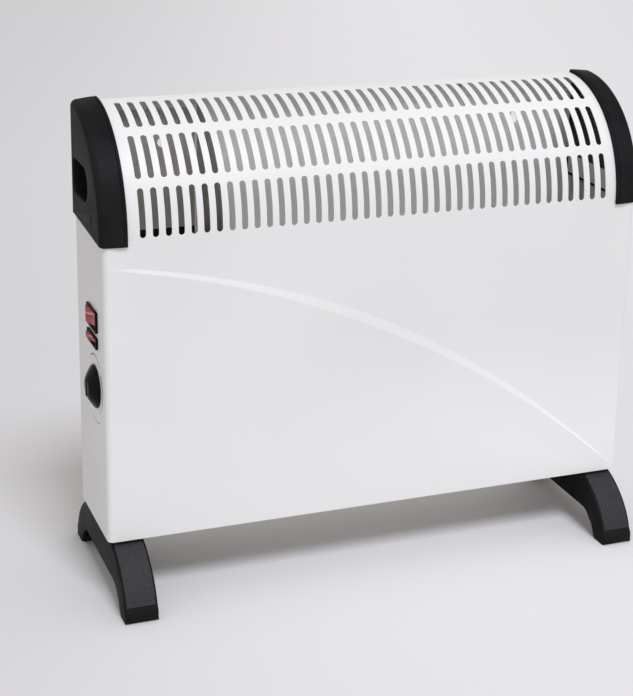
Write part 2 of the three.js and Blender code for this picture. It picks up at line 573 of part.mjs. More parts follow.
function wiring() {
  const { x, y, z } = BLOCK;
  const tab = -SIDE + SWITCH_DEPTH + GAP;
  const coil = [ELEMENT.x0 - GAP - 2, -ELEMENT.amp];
  const [low, high] = [ELEMENT_Z.low, ELEMENT_Z.high];
  const bore = (k) => [[x + k * 15, y, z + 4], [x + k * 15, y, z + 12]];
  const toTab = (h) => [[tab + 9, SWITCH_Y, h], [tab, SWITCH_Y, h]];
  const toCoil = (h) => [[DIVIDER_X - 8, coil[1], h], [coil[0] - 8, coil[1], h],
    [...coil, h]];
  const lug = [x + 35, y + 6, PAN_FLOOR + GAP];   // earth wire on the base pan
  const { upper, lower } = SWITCHES;
  return [
    wire('wire_live', [...bore(-1), [x - 10, y + 6, high], [x - 9, y - 14, lower.z - 28],
      ...toTab(lower.z)], WIRES.live),
    wire('wire_neutral', [...bore(0), [x + 15, y - 4, low - 14], ...toCoil(low)],
      WIRES.neutral),
    wire('wire_earth', [...bore(1), [x + 24, y + 4, z + 21], [lug[0], lug[1], z + 11],
      lug], WIRES.earth),
    wire('wire_element', [...toTab(upper.z).reverse(), [x + 10, y - 32, upper.z - 13],
      [x + 39, y - 34, high + 30], ...toCoil(high)], WIRES.element),
  ];
}

function glandHole() {
  const { x, z } = GLAND;
  return rod(13.4, REAR - 3, REAR + 4, [0, 1, 0], [x, 0, z], 16);
}

const heater = new THREE.Group();
heater.name = 'convector_heater';
heater.add(
  frontPanel(), topGrille(), backPanel(), basePan(),
  endCap('end_cap_left', -1), endCap('end_cap_right', 1),
  endPlate('end_plate_left', -1), endPlate('end_plate_right', 1),
  foot('foot_left', -1), foot('foot_right', 1),
  ...footScrews(), ...backScrews(),
  divider(), heatShield('heat_shield_front', SHIELD.y0, -1),
  heatShield('heat_shield_rear', SHIELD.y1, 1),
  ...SUPPORT_X.map((x, i) => micaSupport(`mica_support_${i + 1}`, x)),
  elementWire('element_lower', ELEMENT_Z.low), elementWire('element_upper', ELEMENT_Z.high),
  cutout(), thermostat(), shaft(), knob(),
  switchHousing('switch_housing_upper', SWITCHES.upper),
  switchHousing('switch_housing_lower', SWITCHES.lower),
  rocker('rocker_upper', SWITCHES.upper), rocker('rocker_lower', SWITCHES.lower),
  terminalBlock(), cordGland(), ...wiring(),
);
export default heater;
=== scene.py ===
# %% [markdown]
# # A convector heater, dressed in Blender
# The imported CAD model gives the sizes, the places and the moving bodies. This lesson builds
# the looks around it, one piece at a time: sheet steel, moulded caps, feet, knob and keys.
# Every length below is in millimetres until `mm` turns it into Blender's metres.

# %% Load the frame
import json
import math

import bmesh
import bpy
from mathutils import Matrix, Vector

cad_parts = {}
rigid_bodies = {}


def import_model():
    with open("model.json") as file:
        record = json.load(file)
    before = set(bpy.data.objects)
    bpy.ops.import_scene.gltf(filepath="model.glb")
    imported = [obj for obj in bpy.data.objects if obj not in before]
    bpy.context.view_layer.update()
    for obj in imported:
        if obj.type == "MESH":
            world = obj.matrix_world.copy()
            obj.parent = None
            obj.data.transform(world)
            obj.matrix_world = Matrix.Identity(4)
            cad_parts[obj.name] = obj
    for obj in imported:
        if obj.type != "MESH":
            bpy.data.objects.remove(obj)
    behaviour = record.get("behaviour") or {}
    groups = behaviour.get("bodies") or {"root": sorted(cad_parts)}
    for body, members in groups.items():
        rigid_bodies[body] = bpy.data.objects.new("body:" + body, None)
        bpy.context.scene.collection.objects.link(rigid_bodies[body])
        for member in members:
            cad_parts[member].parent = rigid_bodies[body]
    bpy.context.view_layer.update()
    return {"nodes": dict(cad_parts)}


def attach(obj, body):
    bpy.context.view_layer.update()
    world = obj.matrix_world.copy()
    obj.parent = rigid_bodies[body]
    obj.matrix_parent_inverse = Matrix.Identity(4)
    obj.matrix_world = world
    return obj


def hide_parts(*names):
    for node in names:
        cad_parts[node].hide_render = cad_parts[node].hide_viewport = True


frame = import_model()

nodes = frame["nodes"]


# %% [markdown]
# ## Shared sizes
# The casing's outside, the centre of the grille's curve and the places of the controls are
# used by several pieces and by their finishes. They repeat the CAD model's sizes, so that
# each dressed piece sits where its node does.

# %% Sizes from the CAD
HALF, FRONT, REAR, SHEET = 262.0, -52.0, 52.0, 0.8
FLANGE = 12.0
CASING_BOTTOM, ARC_Z = 60.0, 344.0      # the grille's curve is centred on (REAR, ARC_Z)
ARC_R = REAR - FRONT
GRILLE_HALF, SLOT_PITCH, SLOT_WIDTH, SLOTS = 243.0, 11.6, 5.6, 40
KNOB_Y, KNOB_Z = -14.0, 199.0
SWITCH_Y = -9.5
SWITCHES = {"upper": (263.0, 20.0), "lower": (243.2, 11.0)}     # height of centre, of bezel
BACK_SCREWS = [(s * 254, z) for s in (-1, 1) for z in (90, 200, 310)] + [(-120, 442), (120, 442)]
GLAND_X, GLAND_Z = -236, 130
FOOT_X, FOOT_SCREW_Y = 243, 18
TOUCH = 0.01        # mm within which a corner counts as lying on a line or plane
print("grille radius", ARC_R, "mm, slots", SLOTS)


# %% [markdown]
# ## Tools of the bench
# An operator acts on whatever is selected, and the frame arrives selected all over. So each
# piece starts from a clean selection, and edges and faces are then picked by where they lie.
# Drawing a profile point by point with the extrude operator is what one does by hand with
# Ctrl and the right mouse button. It was chosen over typed meshes because the outline stays
# readable, and any profile can be changed by moving one point.

# %% Lengths, selection and primitives
def mm(*lengths):
    """Millimetres to metres."""
    return tuple(v / 1000 for v in lengths) if len(lengths) > 1 else lengths[0] / 1000


def clear():
    """Object mode with nothing selected."""
    if bpy.context.object and bpy.context.object.mode != "OBJECT":
        bpy.ops.object.mode_set(mode="OBJECT")
    bpy.ops.object.select_all(action="DESELECT")


def focus(piece):
    """Object mode with one piece selected."""
    clear()
    piece.select_set(True)
    bpy.context.view_layer.objects.active = piece


def edit(piece):
    """Opens one piece for editing, alone."""
    focus(piece)
    bpy.ops.object.mode_set(mode="EDIT")
    return piece


def start(name, add=bpy.ops.mesh.primitive_plane_add, **settings):
    """Adds a primitive under its own name and opens it for editing, all selected."""
    clear()
    add(**settings)
    piece = bpy.context.object
    piece.name = piece.data.name = name
    return edit(piece)


def empty(name):
    """A mesh with nothing in it yet, open for drawing."""
    piece = start(name)
    bpy.ops.mesh.select_all(action="SELECT")
    bpy.ops.mesh.delete(type="VERT")
    return piece


def middle(item):
    """The middle of a vertex, edge or face, in mm."""
    corners = [item] if isinstance(item, bmesh.types.BMVert) else item.verts
    return sum((v.co for v in corners), Vector()) / len(corners) * 1000


def pick(kind, test):
    """Selects just the VERTs, EDGEs or FACEs that pass a test, and counts them."""
    bpy.ops.mesh.select_mode(type=kind)
    bpy.ops.mesh.select_all(action="DESELECT")
    form = bmesh.from_edit_mesh(bpy.context.object.data)
    items = {"VERT": form.verts, "EDGE": form.edges, "FACE": form.faces}[kind]
    found = [item for item in items if test(item)]
    for item in found:
        item.select_set(True)
    bmesh.update_edit_mesh(bpy.context.object.data)
    return len(found)


print("selection helpers ready")


# %% Drawing, extruding and spinning
def trace(points):
    """Draws a chain of edges through points in mm, one extruded vertex after another."""
    bpy.ops.mesh.select_mode(type="VERT")
    bpy.ops.mesh.select_all(action="DESELECT")
    bpy.ops.mesh.primitive_plane_add(size=0.001, location=mm(*points[0]))
    bpy.ops.mesh.merge(type="CENTER")
    for a, b in zip(points, points[1:]):
        step = (Vector(b) - Vector(a)) / 1000
        bpy.ops.mesh.extrude_vertices_move(TRANSFORM_OT_translate={"value": step})


def outline(points):
    """Draws a closed outline and fills it with one face, which stays selected."""
    trace([*points, points[0]])
    bpy.ops.mesh.select_linked()
    bpy.ops.mesh.remove_doubles(threshold=1e-6)
    bpy.ops.mesh.edge_face_add()


def pull(*move, kind="FACE"):
    """Extrudes what is selected by a move in mm."""
    extrude = {"FACE": bpy.ops.mesh.extrude_region_move,
               "EDGE": bpy.ops.mesh.extrude_edges_move}[kind]
    extrude(TRANSFORM_OT_translate={"value": mm(*move)})


def tidy(piece, flip_if=None):
    """Merges doubled vertices and turns the faces outwards."""
    edit(piece)
    bpy.ops.mesh.select_all(action="SELECT")
    bpy.ops.mesh.remove_doubles(threshold=2e-6)
    bpy.ops.mesh.normals_make_consistent(inside=False)
    if flip_if is not None:
        form = bmesh.from_edit_mesh(piece.data)
        form.faces.ensure_lookup_table()
        if any(flip_if(face) for face in form.faces):
            bpy.ops.mesh.flip_normals()
    clear()


def modify(piece, kind, **settings):
    """Adds one modifier and applies it."""
    focus(piece)
    step = piece.modifiers.new(kind.title(), kind)
    for key, value in settings.items():
        setattr(step, key, value)
    bpy.ops.object.modifier_apply(modifier=step.name)


def combine(piece, tool, operation="DIFFERENCE"):
    """Cuts piece with tool, or joins tool to it, and throws the tool away."""
    modify(piece, "BOOLEAN", object=tool, operation=operation, solver="EXACT")
    bpy.data.objects.remove(tool)


def soften(piece, width, segments=2, degrees=35):
    """Rounds the edges that turn by more than an angle."""
    modify(piece, "BEVEL", width=mm(width), segments=segments, limit_method="ANGLE",
           angle_limit=math.radians(degrees), use_clamp_overlap=True)


def rounded(x, y, width, height, radius, steps=6):
    """The points of a rectangle with round corners; radius is one value or four,
    counter-clockwise from the lower right corner."""
    radii = radius if isinstance(radius, (list, tuple)) else [radius] * 4
    points = []
    for k, (sx, sy) in enumerate([(1, -1), (1, 1), (-1, 1), (-1, -1)]):
        r = radii[k]
        cx, cy = x + sx * (width / 2 - r), y + sy * (height / 2 - r)
        for i in range(steps + 1):
            a = math.radians(90 * (k - 1) + 90 * i / steps)
            points.append((cx + r * math.cos(a), cy + r * math.sin(a)))
    return points


def finish_piece(piece, finish, slot, *stands_for, body="heater", smooth=30):
    """Settles a piece in its mesh, smooths it, paints it and hands it to its body."""
    focus(piece)
    bpy.ops.object.transform_apply()
    bpy.ops.object.shade_smooth_by_angle(angle=math.radians(smooth))
    if finish is not None:
        piece.data.materials.clear()
        piece.data.materials.append(finish)
    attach(piece, body)
    if stands_for:
        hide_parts(*stands_for)
    box = [[round(f(v.co[i] for v in piece.data.vertices) * 1000, 1) for i in range(3)]
           for f in (min, max)]
    print(f"{piece.name}: {len(piece.data.polygons)} faces, {box[0]} to {box[1]} mm")
    return piece


print("modelling helpers ready")


# %% [markdown]
# ## Camera
# The photograph was taken from the front left, a little above the grille. Its place was
# worked out from points whose size is known, such as the slots, which repeat at one pitch.
# A camera can be turned by angles or be given its axes. The axes were chosen, because a
# small roll about the line of sight is then one plain line.

# %% Place the camera
turn, dip, roll = (math.radians(v) for v in (20.86, 16.87, 1.06))
look = Vector((math.sin(turn) * math.cos(dip), math.cos(turn) * math.cos(dip), -math.sin(dip)))
right = look.cross(Vector((0, 0, 1))).normalized()
up = right.cross(look)
right, up = (right * math.cos(roll) + up * math.sin(roll),
             up * math.cos(roll) - right * math.sin(roll))
clear()
bpy.ops.object.camera_add()
camera = bpy.context.object
axes = Matrix((right, up, -look)).transposed().to_4x4()
camera.matrix_world = Matrix.Translation(mm(-578.7, -1397.9, 759.3)) @ axes
PHOTO_HEIGHT, FOCAL_PIXELS, RISE_PIXELS = 696, 1671.33, 100
camera.data.lens = 36 * FOCAL_PIXELS / PHOTO_HEIGHT
camera.data.shift_y = -RISE_PIXELS / PHOTO_HEIGHT
camera.data.clip_start, camera.data.clip_end = 0.05, 60
bpy.context.scene.camera = camera
bpy.context.scene.view_settings.view_transform = "Standard"
print("lens", round(camera.data.lens, 2), "mm, shift", round(camera.data.shift_y, 4))


# %% [markdown]
# ## Shader arithmetic
# A finish is a small calculation on the position of a point: grain here, a printed line
# there. Nodes can be wired one by one, but a long sum then hides its own meaning. Here one
# class wraps a socket, so that `1 - mask * 0.5` adds the Math nodes itself, and one method
# adds any other node.

# %% Sockets that can be reckoned with
class Value:
    """A node's output socket that may stand in a Python expression."""

    def __init__(self, finish, socket):
        self.finish, self.socket = finish, socket

    def _with(self, operation, *values):
        return self.finish.add("ShaderNodeMath", {"operation": operation},
                               dict(enumerate(values)))

    def __add__(self, other): return self._with("ADD", self, other)
    def __radd__(self, other): return self._with("ADD", other, self)
    def __sub__(self, other): return self._with("SUBTRACT", self, other)
    def __rsub__(self, other): return self._with("SUBTRACT", other, self)
    def __mul__(self, other): return self._with("MULTIPLY", self, other)
    def __rmul__(self, other): return self._with("MULTIPLY", other, self)
    def __truediv__(self, other): return self._with("DIVIDE", self, other)
    def __pow__(self, other): return self._with("POWER", self, other)
    def __gt__(self, other): return self._with("GREATER_THAN", self, other)
    def __lt__(self, other): return self._with("LESS_THAN", self, other)
    def __abs__(self): return self._with("ABSOLUTE", self)


class Finish:
    """A material on the Principled shader. Uniform values sit on its own sockets."""

    def __init__(self, name, colour, **uniform):
        self.material = bpy.data.materials.new(name)
        self.material.use_nodes = True
        self.tree = self.material.node_tree
        self.shader = self.tree.nodes["Principled BSDF"]
        self.shader.inputs["Base Color"].default_value = (*colour, 1)
        for key, value in uniform.items():
            self.shader.inputs[self.label(key)].default_value = value
        place = self.add("ShaderNodeTexCoord", {}, {}, "Object")
        self.point = place
        self.x, self.y, self.z = self.split(place)

    @staticmethod
    def label(key):
        """The shader's name for an input, such as Base Color for base_color."""
        return key.replace("_", " ").title().replace("Ior", "IOR")

    def put(self, socket, value):
        """Links a socket or sets its own value."""
        if isinstance(value, Value):
            self.tree.links.new(value.socket, socket)
        else:
            socket.default_value = (*value, 1) if socket.type == "RGBA" else value

    def add(self, kind, settings, inputs, output=0):
        """Adds a node: its settings first, then its inputs by name or number."""
        made = self.tree.nodes.new(kind)
        for key, value in settings.items():
            setattr(made, key, value)
        for key, value in inputs.items():
            self.put(made.inputs[key], value)
        return Value(self, made.outputs[output])

    def split(self, vector):
        first = self.add("ShaderNodeSeparateXYZ", {}, {"Vector": vector})
        outputs = first.socket.node.outputs
        return [Value(self, outputs[k]) for k in range(3)]

    def noise(self, size, detail=2.0, roughness=0.5, at=None):
        """Soft noise from 0 to 1 whose lumps are about size mm across."""
        return self.add("ShaderNodeTexNoise", {}, {
            "Vector": at or self.point, "Scale": 1000 / size, "Detail": detail,
            "Roughness": roughness})

    def cells(self, size, feature="F1", output="Distance", at=None):
        """Voronoi cells about size mm across."""
        return self.add("ShaderNodeTexVoronoi", {"feature": feature}, {
            "Vector": at or self.point, "Scale": 1000 / size}, output)

    def step(self, value, low, high, a=0.0, b=1.0):
        """Runs smoothly from a to b as value goes from low to high."""
        return self.add("ShaderNodeMapRange", {"interpolation_type": "SMOOTHSTEP"}, {
            "Value": value, "From Min": low, "From Max": high, "To Min": a, "To Max": b})

    def mix(self, mask, first, second):
        """Blends two colours."""
        made = self.tree.nodes.new("ShaderNodeMix")
        made.data_type = "RGBA"
        for key, value in ((0, mask), (6, first), (7, second)):
            self.put(made.inputs[key], value)
        return Value(self, made.outputs[2])

    def bump(self, height, depth, strength=1.0):
        """Feeds the shader's Normal from a height between 0 and 1, depth in mm."""
        normal = self.add("ShaderNodeBump", {}, {
            "Strength": strength, "Distance": mm(depth), "Height": height})
        self.put(self.shader.inputs["Normal"], normal)

    def painted(self):
        """The colour that feeds the shader so far, to mix more into."""
        return Value(self, self.shader.inputs["Base Color"].links[0].from_socket)

    def vary(self, **sockets):
        """Feeds Base Color, Roughness or Metallic."""
        for key, value in sockets.items():
            self.put(self.shader.inputs[self.label(key)], value)
        return self


print("shader helpers ready")


# %% [markdown]
# ## Powder coat
# The casing is sheet steel sprayed with white powder and baked. Seen close it has a shallow
# orange peel, a little waver in gloss and hardly any change of colour. An image of paint
# would do it too, but noise on object coordinates has no seam where sheets meet.

# %% White powder coat
def powder_coat(name, colour):
    coat = Finish(name, colour, roughness=0.42)
    peel = coat.noise(1.6, detail=2)
    drift = coat.noise(160, detail=1)
    shade = coat.step(drift, 0.3, 0.7)
    darker = tuple(c * 0.965 for c in colour)
    coat.vary(base_color=coat.mix(shade, darker, colour),
              roughness=0.38 + peel * 0.1)
    coat.bump(peel, 0.02, 0.35)
    return coat


casing_white = powder_coat("white_powder_coat", (0.765, 0.765, 0.762))
grille_white = powder_coat("white_powder_coat_grille", (0.76, 0.76, 0.757))
back_white = powder_coat("white_powder_coat_back", (0.76, 0.76, 0.755))
print("powder coats:", casing_white.material.name, grille_white.material.name,
      back_white.material.name)


# %% [markdown]
# Three tones are laid on the coats, not in the paint. Two of them are painted light: the low
# front is a little paler, for the light that the floor throws up onto it, and the inner sides
# of the grille and the back plate are lighter, to brighten the inside seen through the slots.
# Behind the first slots there is something brown-grey, with black below it. These could be
# pieces of their own, but what they are is not known, so they are masks on the coats.

# %% Painted light on the front and the inner sides, and the film behind the slots
PAINTED_BOUNCE_FROM, PAINTED_BOUNCE_FULL, NEAR_FRONT = 240, 70, -48
# painted light: the front grows paler towards its foot, for the light the floor throws up
low = (casing_white.step(casing_white.z, mm(PAINTED_BOUNCE_FULL), mm(PAINTED_BOUNCE_FROM), 1, 0)
       * (casing_white.y < mm(NEAR_FRONT)))
casing_white.vary(base_color=casing_white.mix(
    low, casing_white.painted(), (0.812, 0.812, 0.809)))
# painted light: the grille's inner side is lighter, so the slots show a brighter inside
across, rise = grille_white.y - mm(REAR), grille_white.z - mm(ARC_Z)
under = (across * across + rise * rise) ** 0.5 < mm(ARC_R - 0.5)
grille_white.vary(base_color=grille_white.mix(
    under, grille_white.painted(), (0.92, 0.92, 0.91)))
PLATE_FACE, FILM_X, FILM_BOTTOM = 52.6, -149, 322
inside = back_white.y < mm(PLATE_FACE)
film = inside * (back_white.x < mm(FILM_X))
# painted light: the plate's inner face is lighter, so the slots show a brighter inside
pale = back_white.mix(inside, back_white.painted(), (0.93, 0.93, 0.92))
dark = back_white.mix(back_white.z > mm(FILM_BOTTOM), (0.012, 0.012, 0.012), (0.6, 0.565, 0.52))
back_white.vary(base_color=back_white.mix(film, pale, dark))
print("tones added to the front, the grille and the back plate")


# %% [markdown]
# The controls have a little print beside them: a curved wedge that grows with the heat
# setting, and two short arcs. It is drawn on the casing's own finish, as real pad print
# is. The mask is the distance from the knob's axis in the plane of the side wall.

# %% Printed marks round the knob
def printed_marks(coat):
    """A mask that is 1 on the print, by the distance in mm from the knob's axis."""
    y, z = coat.y * 1000 - KNOB_Y, coat.z * 1000 - KNOB_Z
    radius = (y * y + z * z) ** 0.5
    height = z / radius
    wedge = coat.step(height, -0.86, 0.62, 0.5, 1.7)    # half the width, which grows
    long_arc = (abs(radius - 25.6) < wedge) * (y < 0) * (height > -0.86) * (height < 0.66)
    short_arc = (abs(radius - 29.5) < 0.7) * (height > 0.8)
    low_arc = (abs(radius - 34) < 0.7) * (height < -0.9)
    on_wall = coat.x < mm(0.25 - HALF)
    return (long_arc * 0.75 + short_arc + low_arc * 0.55) * on_wall


marks = printed_marks(casing_white)
casing_white.vary(base_color=casing_white.mix(
    marks, casing_white.painted(), (0.24, 0.10, 0.13)))
print("printed marks added to", casing_white.material.name)


# %% [markdown]
# ## Plastics
# Caps, feet, knob and bezels are injection moulded. The caps are satin with a very fine
# spark grain, the tops of the feet have a leather grain and their edges are smooth, and the
# knob is glossy. The grain is bump only, as in the mould, while the colour hardly moves.

# %% Moulded plastics
def satin(name, colour, roughness, shine=0.012, grain=0.5, depth=0.01):
    plastic = Finish(name, colour, roughness=roughness, specular_ior_level=shine)
    spark = plastic.noise(grain, detail=3, roughness=0.6)
    flow = plastic.noise(45, detail=2)
    lighter = tuple(c * 1.25 + 0.002 for c in colour)
    plastic.vary(base_color=plastic.mix(plastic.step(flow, 0.35, 0.65), colour, lighter),
                 roughness=roughness - 0.05 + spark * 0.1)
    plastic.bump(spark, depth, 0.5)
    return plastic


cap_black = satin("cap_satin_plastic", (0.0115, 0.0112, 0.0122), 0.36)
foot_smooth = satin("foot_edge_plastic", (0.012, 0.0118, 0.0125), 0.34)
knob_black = satin("knob_plastic", (0.006, 0.006, 0.0065), 0.2, 0.05, grain=1.4, depth=0.004)
bezel_black = satin("bezel_plastic", (0.004, 0.004, 0.0045), 0.3, 0.02)
nylon_cream = satin("cream_nylon", (0.66, 0.62, 0.5), 0.5)

foot_grain = Finish("foot_leather_grain", (0.04, 0.04, 0.044), roughness=0.62,
                    specular_ior_level=0.1)
hide = foot_grain.cells(1.5, "DISTANCE_TO_EDGE")
pores = foot_grain.noise(0.7, detail=2)
crease = foot_grain.step(hide, 0.0, 0.22)
foot_grain.vary(
    base_color=foot_grain.mix(crease, (0.026, 0.026, 0.029), (0.046, 0.046, 0.050)),
    roughness=0.66 - crease * 0.1)
foot_grain.bump(crease * 0.7 + pores * 0.3, 0.09, 0.7)
print("plastics ready")


# %% [markdown]
# ## Red keys
# The rocker keys are clear red plastic over a lamp, so light gathers inside them and their
# face shines. That light is painted into the colour: brighter patches and veins stand for the
# light gathered inside and sent back by the moulded ribs behind the face, a paler orange band
# along each key is a painted highlight, and a dark line across the middle is painted shade in
# the key's crease.

# %% Clear red plastic
rocker_red = Finish("clear_red_plastic_and_painted_light", (0.5, 0.015, 0.03), roughness=0.2,
                    specular_ior_level=0.3)
# painted light: brighter veins for the light the ribs behind the face send back
ribs = rocker_red.step(rocker_red.add("ShaderNodeMath", {"operation": "PINGPONG"}, {
    0: rocker_red.z * 1000, 1: 1.2}), 0.2, 1.0)
# painted light: brighter patches where light gathers inside the key
glow = rocker_red.noise(6, detail=1)
rocker_red.vary(base_color=rocker_red.mix(
    rocker_red.step(glow, 0.35, 0.7) * 0.5 + ribs * 0.3, (0.2, 0.004, 0.012),
    (0.62, 0.03, 0.045)))
SLANT = 0.25        # the reflection climbs this much per mm along the key
height = rocker_red.z * 1000 + (rocker_red.y * 1000 - SWITCH_Y) * SLANT
# painted highlight: a paler orange band that climbs along each key
painted_highlight = sum(rocker_red.step(abs(height - z), 1.5, 0.3) for z in (266.5, 245))
# painted shade: a dark line in the crease across the middle of each key
painted_crease_shade = sum(rocker_red.step(abs(rocker_red.z * 1000 - z), 0.9, 0.3) for z in (262.6, 242.4))
red = rocker_red.mix(painted_highlight * 0.6, rocker_red.painted(), (1.0, 0.42, 0.3))
rocker_red.vary(base_color=rocker_red.mix(painted_crease_shade * 0.7, red, (0.08, 0.002, 0.006)))
print("rocker finish ready")


# %% [markdown]
# ## Metals
# Inside are galvanised sheets, whose zinc shows as flakes of different grey, zinc-plated
# screws, oxidised heater wire and mica. Each flake takes one grey from its Voronoi cell. The
# two plates at the ends are painted black above, as painted shade, for the dark under the caps
# that the last slots look into.

# %% Galvanised sheet, screws, wire and mica
galvanised = Finish("galvanised_sheet", (0.66, 0.66, 0.65), roughness=0.45, metallic=0.5)
flake = galvanised.split(galvanised.cells(9, output="Color"))[0]
galvanised.vary(base_color=galvanised.mix(flake, (0.6, 0.6, 0.59), (0.74, 0.74, 0.73)),
                roughness=0.36 + flake * 0.18)
galvanised.bump(galvanised.noise(2.5), 0.02, 0.3)
plate_zinc_painted_shade = Finish("end_plate_zinc_painted_shade", (0.64, 0.64, 0.63), roughness=0.6, metallic=0.2)
# painted shade: the end plates are black above this height, under the caps
PAINTED_SHADE_ABOVE = 366
plate_zinc_painted_shade.vary(base_color=plate_zinc_painted_shade.mix(plate_zinc_painted_shade.z > mm(PAINTED_SHADE_ABOVE), (0.64, 0.64, 0.63),
                                          (0.01, 0.01, 0.01)))

screw_zinc = Finish("zinc_plated_steel", (0.6, 0.6, 0.61), roughness=0.3, metallic=1.0)
plating = screw_zinc.noise(0.8, detail=3)
screw_zinc.vary(base_color=screw_zinc.mix(plating, (0.5, 0.5, 0.5), (0.68, 0.68, 0.7)),
                roughness=0.25 + plating * 0.2)
screw_zinc.bump(plating, 0.02, 0.4)

resistance_wire = Finish("oxidised_wire", (0.2, 0.19, 0.18), roughness=0.5, metallic=0.8)
oxide = resistance_wire.noise(3, detail=3)
resistance_wire.vary(base_color=resistance_wire.mix(
    oxide, (0.12, 0.11, 0.11), (0.3, 0.27, 0.24)), roughness=0.4 + oxide * 0.25)

mica = Finish("mica_board", (0.45, 0.34, 0.22), roughness=0.6)
scale = mica.split(mica.cells(3.2, output="Color"))[1]
mica.vary(base_color=mica.mix(scale, (0.36, 0.27, 0.17), (0.56, 0.45, 0.3)),
          roughness=0.45 + scale * 0.25)
mica.bump(mica.cells(3.2), 0.03, 0.4)
print("metals ready")


# %% [markdown]
# ## Wires
# The insulation is plain soft plastic, and the earth wire carries a yellow stripe along a
# green skin. At this size a faint mottle and a soft gloss are all that shows.

# %% Wire insulation
def insulation(name, colour, other=None):
    skin = Finish(name, colour, roughness=0.45)
    mottle = skin.noise(4)
    second = other or tuple(c * 0.8 for c in colour)
    mask = skin.step(skin.noise(2.2, detail=0), 0.48, 0.52) if other else mottle
    skin.vary(base_color=skin.mix(mask, colour, second), roughness=0.4 + mottle * 0.15)
    return skin


wire_brown = insulation("brown_insulation", (0.11, 0.05, 0.03))
wire_blue = insulation("blue_insulation", (0.02, 0.08, 0.33))
wire_green = insulation("green_yellow_insulation", (0.06, 0.28, 0.04), (0.7, 0.6, 0.03))
wire_white = insulation("white_insulation", (0.7, 0.7, 0.69))
print("insulation ready")


# %% [markdown]
# ## Casing sheet
# One steel sheet makes the front, both sides and the rear flanges. It is folded round tight
# corners, and a pressed crease runs down the front from left to right. One could sculpt the
# crease into a dense grid, but its two edges are crisp. So five lines are drawn across the
# front, two of them along the crease, and bridged into strips. The end column is then spun
# round each corner and pulled back along the side.

# %% Lines of the front
CORNER = 5.5
EDGE = HALF - CORNER        # the flat front ends here
FADE = 30                   # the crease runs out over this length at each end
STANDS_OUT, SINKS_IN = 1.3, 0.3     # its lower line, its upper line


def crease_height(x):
    """The middle line of the crease, a cubic through points read from the photograph."""
    u = x / 100
    return -0.29 * u**3 - 7.636 * u**2 - 47.798 * u + 242.976


def crease_width(x):
    """Its width, straight from one known place to the next."""
    known = [(-253, 2.2), (-237, 3), (-202, 4), (-157, 5), (-110, 6.6), (-64, 8.6),
             (-9, 9.8), (33, 9.4), (76, 8.4), (120, 7), (158, 5.8), (190, 4.4),
             (231, 2.6), (253, 2)]
    for (a, p), (b, q) in zip(known, known[1:]):
        if x <= b:
            return p + (q - p) * (x - a) / (b - a)
    return known[-1][1]


def crease_rise(x):
    """1 along the crease, smoothly 0 at both ends."""
    edge = min(1.0, (EDGE - abs(x)) / FADE)
    return edge * edge * (3 - 2 * edge)


columns = [EDGE * (i / 46 - 1) for i in range(93)]
lines = {"bottom": [], "faded": [], "low": [], "high": [], "top": []}
for x in columns:
    z, half = crease_height(x), crease_width(x) / 2
    low = max(z - half, CASING_BOTTOM + 3)
    faded = max(low - 62, CASING_BOTTOM + (low - CASING_BOTTOM) * 0.35)
    lines["bottom"].append((x, FRONT, CASING_BOTTOM))
    lines["faded"].append((x, FRONT, faded))
    lines["low"].append((x, FRONT - STANDS_OUT * crease_rise(x), low))
    high = max(z + half, CASING_BOTTOM + 5)
    lines["high"].append((x, FRONT + SINKS_IN * crease_rise(x), high))
    lines["top"].append((x, FRONT, ARC_Z))
print("crease from z", round(lines["high"][0][2]), "to", round(lines["high"][-1][2]), "mm")

# %% Bridge the lines and fold the sides
casing = empty("casing_sheet")
order = list(lines.values())
for points in order:
    trace(points)


def lies_on(points):
    """A test for edges that follow one of the lines."""
    def near(v):
        i = round((v.co.x * 1000 + EDGE) / (columns[1] - columns[0]))
        return abs(v.co.z * 1000 - points[min(max(i, 0), len(columns) - 1)][2]) < 0.05
    return lambda edge: all(near(v) for v in edge.verts)


for below, above in zip(order, order[1:]):
    lower, upper = lies_on(below), lies_on(above)
    found = pick("EDGE", lambda e: lower(e) or upper(e))
    bpy.ops.mesh.bridge_edge_loops()
    print("bridged", found, "edges")
for sign in (-1, 1):
    pick("EDGE", lambda e: all(abs(v.co.x * 1000 - sign * EDGE) < TOUCH for v in e.verts))
    bpy.ops.mesh.spin(steps=10, angle=-sign * math.pi / 2, axis=(0, 0, 1),
                      center=mm(sign * EDGE, FRONT + CORNER, 0))
    pull(0, REAR - FRONT - CORNER, 0, kind="EDGE")
    pull(-sign * FLANGE, 0, 0, kind="EDGE")
tidy(casing, lambda f: f.normal.y > 0.9 and middle(f).y < FRONT + 0.01)
print("casing sheet drawn,", len(casing.data.polygons), "faces")

# %% Thickness, bends and openings of the casing
edit(casing)
pick("EDGE", lambda e: all(abs(abs(v.co.x) * 1000 - HALF) < TOUCH
                           and abs(v.co.y * 1000 - REAR) < TOUCH for v in e.verts))
bpy.ops.mesh.bevel(offset=mm(1.5), segments=4, affect="EDGES")
modify(casing, "SOLIDIFY", thickness=mm(SHEET), offset=-1, use_even_offset=True)


def on_skin(v):
    """Whether a vertex lies on the outer skin of the casing."""
    x, y = max(abs(v.co.x) * 1000 - EDGE, 0), max(FRONT + CORNER - v.co.y * 1000, 0)
    return math.hypot(x, y) > CORNER - 0.02


